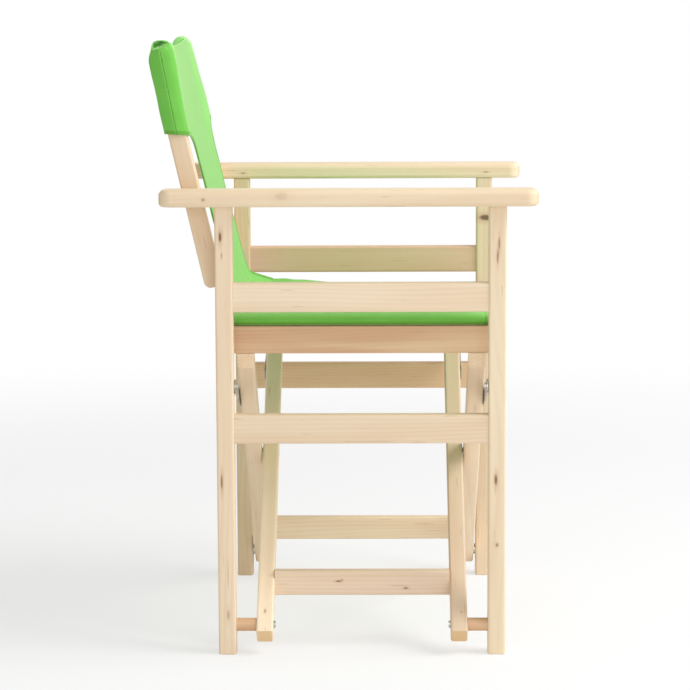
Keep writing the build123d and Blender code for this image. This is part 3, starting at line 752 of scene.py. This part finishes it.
def back_panel(rows, normal):
    """The panel between the sleeves, with its top edge turned to the back."""
    hem = hem_at_edges(rows, edge_hem, both_sides=False, top=True)
    sheet = Sheet(rows, back_extra=hem, normal=normal)
    # Painted light: a paler green over the panel.
    sheet.through = back_cloth_painted_light(rows)
    sheet.sew(row_at(rows, edge_hem * hem_line, False), front=False)
    piece = sheet.build("back_panel_cloth")
    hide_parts("back_panel")
    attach(piece, "side_frame_right")
    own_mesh(piece)


def lower_rows(top_row):
    """The lower back, from the seat up to the panel's lower edge, which is top_row."""
    count = 110
    middle = evenly(curve_through(low_middle, 300), count)
    edge = evenly(curve_through(low_edge, 300), count)
    share = edge_columns(91)
    rows = []
    for i in range(count):
        drop = low_edge[0][1] - edge[i, 1]
        near_seat = smooth(edge[i, 1], 0.50, 0.468)
        half = low_half + (panel_reach - low_half) * math.exp(-drop / cut_in) + low_flare * near_seat
        bend = np.abs(share) ** 2.5
        y = middle[i, 0] + (edge[i, 0] - middle[i, 0] - low_left_pull * (share > 0)) * bend
        z = middle[i, 1] + (edge[i, 1] - middle[i, 1]) * bend
        rows.append(np.column_stack([share * half, y, z]))
    rows = np.array(rows)[::-1]
    # The first rows below the sleeves take over the panel's own line.
    take = smooth(np.arange(count)[::-1], 16, 0)[:, None, None]
    shift = top_row - rows[-1]
    rows = rows + take * shift * np.array([0.0, 1.0, 1.0])
    return rows + lower_waves(rows)


def lower_back(rows, normal):
    """The lower back, with both side edges turned to the back."""
    hem = hem_at_edges(rows, edge_hem)
    sheet = Sheet(rows, extra=0.3 * hem, back_extra=hem, normal=normal)
    in_hem = hem / hem_rise
    # Painted light on the lower back's cloth, and painted shade as a darker green along its turned edges.
    sheet.through = back_cloth_painted_light(rows) * (1 - in_hem) + low_hem_painted_shade * in_hem
    for first in (True, False):
        sheet.sew(column_at(rows, edge_hem * hem_line, first))
    piece = sheet.build("lower_back_cloth")
    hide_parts("lower_back_panel")
    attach(piece, "sling")
    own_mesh(piece)


def rows_under(flat, x):
    """Rows just under the rear of the seat, at the given places across it."""
    made = []
    for row in flat[-1 - join_rows:-1]:
        z = np.interp(x, row[:, 0], row[:, 2]) - join_behind
        made.append(np.column_stack([x, np.full_like(x, row[0, 1]), z]))
    return np.array(made)


def lower_waves(rows):
    """Shallow drag lines down the lower back and creases where it turns into the seat."""
    x, z = rows[..., 0], rows[..., 2]
    drag = low_drag * ripple(rows * np.array([1.0, 0.12, 0.12]), 0.035, 11.0)
    drag *= smooth(z, 0.47, 0.53) * (1 - smooth(z, 0.66, 0.70))
    turn = np.exp(-((z - 0.487) / 0.016) ** 2)
    crease = np.sin(np.abs(x) * 150 + 40 * (z - 0.48)) * smooth(np.abs(x), 0.06, 0.14)
    push = drag + low_crease * turn * crease
    out = np.zeros_like(rows)
    out[..., 1] = push
    out[..., 2] = 0.5 * push * turn
    return out


def seat_rows(rear_row):
    """The seat, from its front edge to the lower back's foot, which is rear_row."""
    half = seat_half
    x = edge_columns(91) * half
    length = np.linspace(0, 1, 90)
    rear_y = float(rear_row[len(rear_row) // 2, 1])
    bow = (np.abs(x) / half) ** 2.2
    flat_z = roll_top - seat_sag * (1 - bow) - left_tuck * smooth(x, 0, half)
    rear_z = np.interp(x, rear_row[:, 0], rear_row[:, 2])
    corner_z = flat_z + np.where(x > 0, corner_rise["left"], corner_rise["right"])
    rear_z = np.where(np.abs(x) > rear_row[-1, 0], np.minimum(rear_z, corner_z), rear_z)
    rows = []
    for t in length:
        y = seat_front + (rear_y - seat_front) * t
        rise = smooth(t, seat_rise_from, 1.0)
        z = flat_z + (rear_z - flat_z) * rise
        rows.append(np.column_stack([x, np.full_like(x, y), z]))
    rows = np.array(rows)
    fade = (np.sin(length * math.pi) ** 0.6)[:, None] * (1 - (x / half) ** 4)
    rows[..., 2] += seat_wave * fade * ripple(rows * np.array([0.5, 1.0, 0.0]), 0.07, 21.0)
    corner = np.exp(-((rows[..., 1] - 0.085) / 0.028) ** 2) * smooth(np.abs(rows[..., 0]), 0.07, 0.13)
    corner *= 1 - smooth(np.abs(rows[..., 0]), 0.165, 0.19)
    rows[..., 2] += corner_wave * corner * np.sin(np.abs(rows[..., 0]) * 130 + rows[..., 1] * 190)
    return rows


def seat(rows):
    """The seat, with its front and rear edges turned under."""
    sheet = Sheet(rows, back_extra=hem_at_edges(np.swapaxes(rows, 0, 1), edge_hem).T)
    sheet.sew(row_at(rows, edge_hem * hem_line, True))
    piece = sheet.build("seat_cloth")
    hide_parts("seat_panel")
    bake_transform(piece)


def seat_edge(letter):
    """The seat's edge, rolled round a batten; side is +1 at the sitter's left."""
    low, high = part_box("seat_hem_" + letter)
    side = 1.0 if low.x > 0 else -1.0
    middle = np.array((low + high) / 2)
    half_wide = (high.x - low.x) / 2
    half_tall = (high.z - low.z) / 2
    half_long = (high.y - low.y) / 2
    turns = np.linspace(0, 2 * math.pi, 72, endpoint=False)
    wide = np.sign(np.cos(turns)) * np.abs(np.cos(turns)) ** (2 / roll_power[letter])
    tall = np.sign(np.sin(turns)) * np.abs(np.sin(turns)) ** (2 / roll_power[letter])
    ends = np.array([0, 0.0018, 0.0036, 0.0052, 0.0062, 0.0072, 0.0085, 0.011])
    places = np.concatenate([-half_long + ends, np.linspace(-half_long + 0.015, half_long - 0.015, 96),
                             half_long - ends[::-1]])
    rows = []
    for y in places:
        from_end = half_long - abs(y)
        pinch = roll_pinch * math.exp(-((from_end - roll_pinch_at) / 0.0010) ** 2)
        x_part = side * wide * (half_wide + roll_out * (wide > 0) - pinch)
        z_part = tall * (half_tall + roll_over[letter] * (tall > 0) - pinch)
        spots = np.column_stack([x_part, np.full_like(wide, y), z_part]) + middle
        wave = 0.5 + 0.5 * ripple(spots * np.array([0.6, 1.0, 0.6]), 0.055, 31.0 + side)
        wave = wave * roll_wave * min(from_end / 0.03, 1)
        spots[:, 0] += side * np.maximum(wide, 0) * wave
        spots[:, 2] += np.maximum(tall, 0) * wave * 0.8
        rows.append(spots)
    rows = np.array(rows)
    if side < 0:
        rows = rows[:, ::-1]
    rows = rows[::-1]
    near_end = (half_long - np.abs(places))[::-1]
    extra = hem_rise * 0.5 * (1 - smooth(near_end, 0.0056, 0.0064))
    sheet = Sheet(rows, looped=True, extra=np.repeat(extra[:, None], rows.shape[1], 1))
    # Painted light as a paler green on the roll's top, and painted shade as a darker green on its underside.
    light = roll_top_painted_light * smooth(tall, 0.1, 0.8) - smooth(-tall, -0.4, 0.6)
    sheet.through = np.outer(np.ones(len(places)), light if side > 0 else light[::-1])
    # Stitches run along the top of the roll, on its inner side.
    above_inner = middle + np.array([-side * half_wide * 0.7, 0, 1.0])
    inner_line = int(np.argmin(np.linalg.norm(rows[60] - above_inner, axis=1)))
    sheet.sew([(i, inner_line) for i in range(8, len(places) - 8)])
    piece = sheet.build("seat_edge_" + letter)
    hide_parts("seat_hem_" + letter)
    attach(piece, "legs_" + letter)


for word in ("left", "right"):
    back_sleeve(word)
upper = panel_rows()
lower = lower_rows(upper[0])
flat = seat_rows(lower[0])
foot = rows_under(flat, lower[0][:, 0])
off_all = grid_normals(np.vstack([foot, lower, upper[1:]]))
top_row = len(foot) + len(lower) - 1
back_panel(upper, off_all[top_row:])
# The lower back goes on a little way inside the panel and the seat, so that no light shows between them.
inside = top_row + 1 + join_rows
joined = np.vstack([foot, lower, upper[1:1 + join_rows] - join_behind * off_all[top_row + 1:inside]])
lower_back(joined, off_all[:inside])
seat(flat)
for letter in ("a", "b"):
    seat_edge(letter)


# Finish of the wooden and steel pieces

def knot(x, y, z, long, wide, strength):
    """A knot's centre, its length along the grain, its width and how dark it is."""
    return (Vector((x, y, z)), long, wide, strength)


outer_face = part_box("right_rear_post")[0].x
arm_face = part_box("right_armrest")[0].x
far_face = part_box("left_front_post")[0].x
low_rail_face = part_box("low_rail_a")[0].x
knots = {
    "right_rear_post": [knot(outer_face, 0.1626, 0.576, 0.0080, 0.0021, 0.85),
                        knot(outer_face, 0.1610, 0.551, 0.0050, 0.0012, 0.4),
                        knot(outer_face, 0.1640, 0.2415, 0.0120, 0.0016, 0.7),
                        knot(outer_face, 0.1570, 0.056, 0.0080, 0.0022, 0.35)],
    "right_front_post": [knot(outer_face, -0.2120, 0.566, 0.0100, 0.0014, 0.6),
                         knot(outer_face, -0.2100, 0.549, 0.0110, 0.0015, 0.6),
                         knot(outer_face, -0.2087, 0.244, 0.0085, 0.0022, 0.8),
                         knot(outer_face, -0.2104, 0.1535, 0.0030, 0.0020, 0.6)],
    "right_armrest": [knot(arm_face, 0.1836, 0.6275, 0.0025, 0.0022, 0.5),
                      knot(arm_face, 0.0796, 0.632, 0.0100, 0.0060, 0.15)],
    "low_rail_a": [knot(low_rail_face, 0.0068, 0.0890, 0.0042, 0.0014, 0.8),
                   knot(low_rail_face, 0.0021, 0.0910, 0.0016, 0.0011, 0.6),
                   knot(low_rail_face, -0.0867, 0.0790, 0.0034, 0.0016, 0.7)],
    "left_front_post": [knot(far_face, -0.2120, 0.557, 0.0052, 0.0105, 0.85)],
    "left_armrest": [knot(0.2215, 0.156, 0.626, 0.0040, 0.0012, 0.5),
                     knot(0.2215, -0.213, 0.6265, 0.0040, 0.0012, 0.5)],
    "leg_a_rear": [knot(-0.2346, 0.1075, 0.0577, 0.0030, 0.0014, 0.6)],
    "leg_a_front": [knot(-0.2362, -0.1627, 0.0564, 0.0022, 0.0014, 0.35)],
}


# Each piece's tone against the common one, as red, green and blue; leg_a_front is darker as painted shade and
# leg_a_rear lighter as painted light where the seat shades it
tones_and_painted_light = {
    "right_armrest": (0.95, 0.97, 0.96), "right_lower_side_rail": (0.91, 0.90, 0.89),
    "right_upper_side_rail": (0.96, 0.97, 0.98), "right_rear_post": (0.95, 0.95, 0.95),
    "right_front_post": (0.95, 0.98, 0.97), "right_back_post": (0.90, 0.88, 0.85),
    "left_upper_side_rail": (0.92, 0.77, 0.79), "left_lower_side_rail": (0.92, 0.82, 0.72),
    "left_front_post": (0.93, 0.90, 0.88), "left_rear_post": (0.87, 0.86, 0.79),
    # leg_a_front: painted shade; leg_a_rear: painted light
    "leg_a_front": (0.84, 0.81, 0.81), "leg_a_rear": (1.08, 1.10, 1.12),
    "low_rail_a": (0.92, 0.90, 0.93), "seat_rail_a": (1.05, 1.13, 1.17),
    "seat_rail_b": (1.05, 1.13, 1.17),
}


def toned_with_painted_light(base, name):
    """A wood colour in a piece's tone, with the painted shade and painted light that some pieces carry."""
    share = tones_and_painted_light.get(name, (1.0, 1.0, 1.0))
    return tuple(min(c * t, 1.0) for c, t in zip(base, share)) + (1.0,)


def grain_of(name):
    """Direction of the grain: along each piece."""
    if any(word in name for word in ("rail", "armrest", "seat_batten", "spacers")):
        return (0, 1, 0)
    if "back_post" in name:
        return (0, math.sin(back_tilt), math.cos(back_tilt))
    if name.startswith(("leg_a", "leg_b")):
        joints = {j["name"]: Vector(j["pos_m"]) for j in frame["joints"]}
        run = joints["crossing"] - joints["fold" if name.startswith("leg_a") else "left_lower_pivot"]
        return tuple(run.normalized())
    return (0, 0, 1)


slots = {part["node"]: part["material_slot"] for part in frame["record"]["subparts"]}
for number, (name, piece) in enumerate(sorted(frame["nodes"].items())):
    if slots[name] == "wood":
        warm = name.startswith("seat_rail") or "spacers" in name
        light, dark = (warm_light, warm_dark) if warm else (pale_light, pale_dark)
        finish = wood("wood_" + name, grain_of(name), toned_with_painted_light(light, name), toned_with_painted_light(dark, name),
                      seed=0.37 * number + 1, ring_depth=0.13 if warm else 0.05, knots=knots.get(name, ()))
    else:
        finish = canvas if slots[name] == "green_cloth" else steel
    piece.data.materials.clear()
    piece.data.materials.append(finish)


# Stage, light and camera

def light_path(tree, *names):
    """1 for the named kinds of ray, and 0 for the rest."""
    path = tree.nodes.new("ShaderNodeLightPath")
    total = path.outputs[names[0]]
    for name in names[1:]:
        add = tree.nodes.new("ShaderNodeMath")
        add.operation = "MAXIMUM"
        tree.links.new(total, add.inputs[0])
        tree.links.new(path.outputs[name], add.inputs[1])
        total = add.outputs[0]
    return total


def floor_material():
    """White floor: half of what the camera sees is its own white, so it stays pale and keeps the shadow."""
    g = Graph("floor")
    place = g.node("ShaderNodeTexCoord").outputs["Object"]
    g.finish(g.mix(g.noise(place, 3.0), floor_light, floor_dark), 0.9, Specular_IOR_Level=0.0)
    seen = light_path(g.tree, "Is Camera Ray", "Is Glossy Ray", "Is Transmission Ray")
    glow = g.node("ShaderNodeEmission", {"Color": (1, 1, 1, 1), "Strength": 1.0})
    away = g.node("ShaderNodeVectorMath", {0: place}, operation="LENGTH").outputs["Value"]
    share = g.math("MULTIPLY", seen, g.ease(away, floor_plain, floor_white, floor_glow, 1.0))
    both = g.node("ShaderNodeMixShader", {0: share, 1: g.shader.outputs[0], 2: glow.outputs[0]})
    out = g.tree.nodes["Material Output"]
    g.tree.links.new(both.outputs[0], out.inputs["Surface"])
    return g.material


def make_floor():
    mesh = bpy.data.meshes.new("floor")
    corners = [(-floor_half, -floor_half, 0), (floor_half, -floor_half, 0),
               (floor_half, floor_half, 0), (-floor_half, floor_half, 0)]
    mesh.from_pydata(corners, [], [(0, 1, 2, 3)])
    mesh.materials.append(floor_material())
    floor = bpy.data.objects.new("floor", mesh)
    bpy.context.scene.collection.objects.link(floor)


def make_world():
    """Even light from all round, which the camera, metal and glass see as plain white."""
    world = bpy.data.worlds.new("studio")
    bpy.context.scene.world = world
    world.use_nodes = True
    tree = world.node_tree
    back = tree.nodes["Background"]
    back.inputs["Color"].default_value = (1, 1, 1, 1)
    seen = light_path(tree, "Is Camera Ray", "Is Glossy Ray", "Is Transmission Ray")
    level = tree.nodes.new("ShaderNodeMapRange")
    level.inputs["To Min"].default_value = ambient
    level.inputs["To Max"].default_value = 1.0
    tree.links.new(seen, level.inputs["Value"])
    tree.links.new(level.outputs[0], back.inputs["Strength"])


def soft_box(name, place, size, power):
    """A square lamp that faces the chair's middle."""
    lamp = bpy.data.lights.new(name, "AREA")
    lamp.shape = "SQUARE"
    lamp.size = size
    lamp.energy = power
    box = bpy.data.objects.new(name, lamp)
    box.location = place
    box.rotation_euler = (Vector(light_target) - Vector(place)).to_track_quat("-Z", "Y").to_euler()
    bpy.context.scene.collection.objects.link(box)


def make_camera():
    """The camera at the photograph's place; roll turns it about its own line of sight."""
    data = bpy.data.cameras.new("camera")
    data.lens = camera_lens
    data.sensor_width = camera_sensor
    data.clip_end = 100
    camera = bpy.data.objects.new("camera", data)
    bpy.context.scene.collection.objects.link(camera)
    level = math.cos(camera_pitch)
    ahead = Vector((math.cos(camera_yaw) * level, math.sin(camera_yaw) * level, -math.sin(camera_pitch)))
    right = ahead.cross(Vector((0, 0, 1))).normalized()
    up = right.cross(ahead)
    turned_right = math.cos(camera_roll) * right + math.sin(camera_roll) * up
    turned_up = -math.sin(camera_roll) * right + math.cos(camera_roll) * up
    turn = Matrix((turned_right, turned_up, -ahead)).transposed().to_4x4()
    camera.matrix_world = Matrix.Translation(camera_place) @ turn
    bpy.context.scene.camera = camera


make_floor()
make_world()
soft_box("key_light", (-0.7, -2.9, 2.9), size=2.2, power=116)
soft_box("side_light", (-3.4, -0.6, 1.2), size=2.4, power=24)
make_camera()
bpy.context.scene.view_settings.view_transform = "Standard"
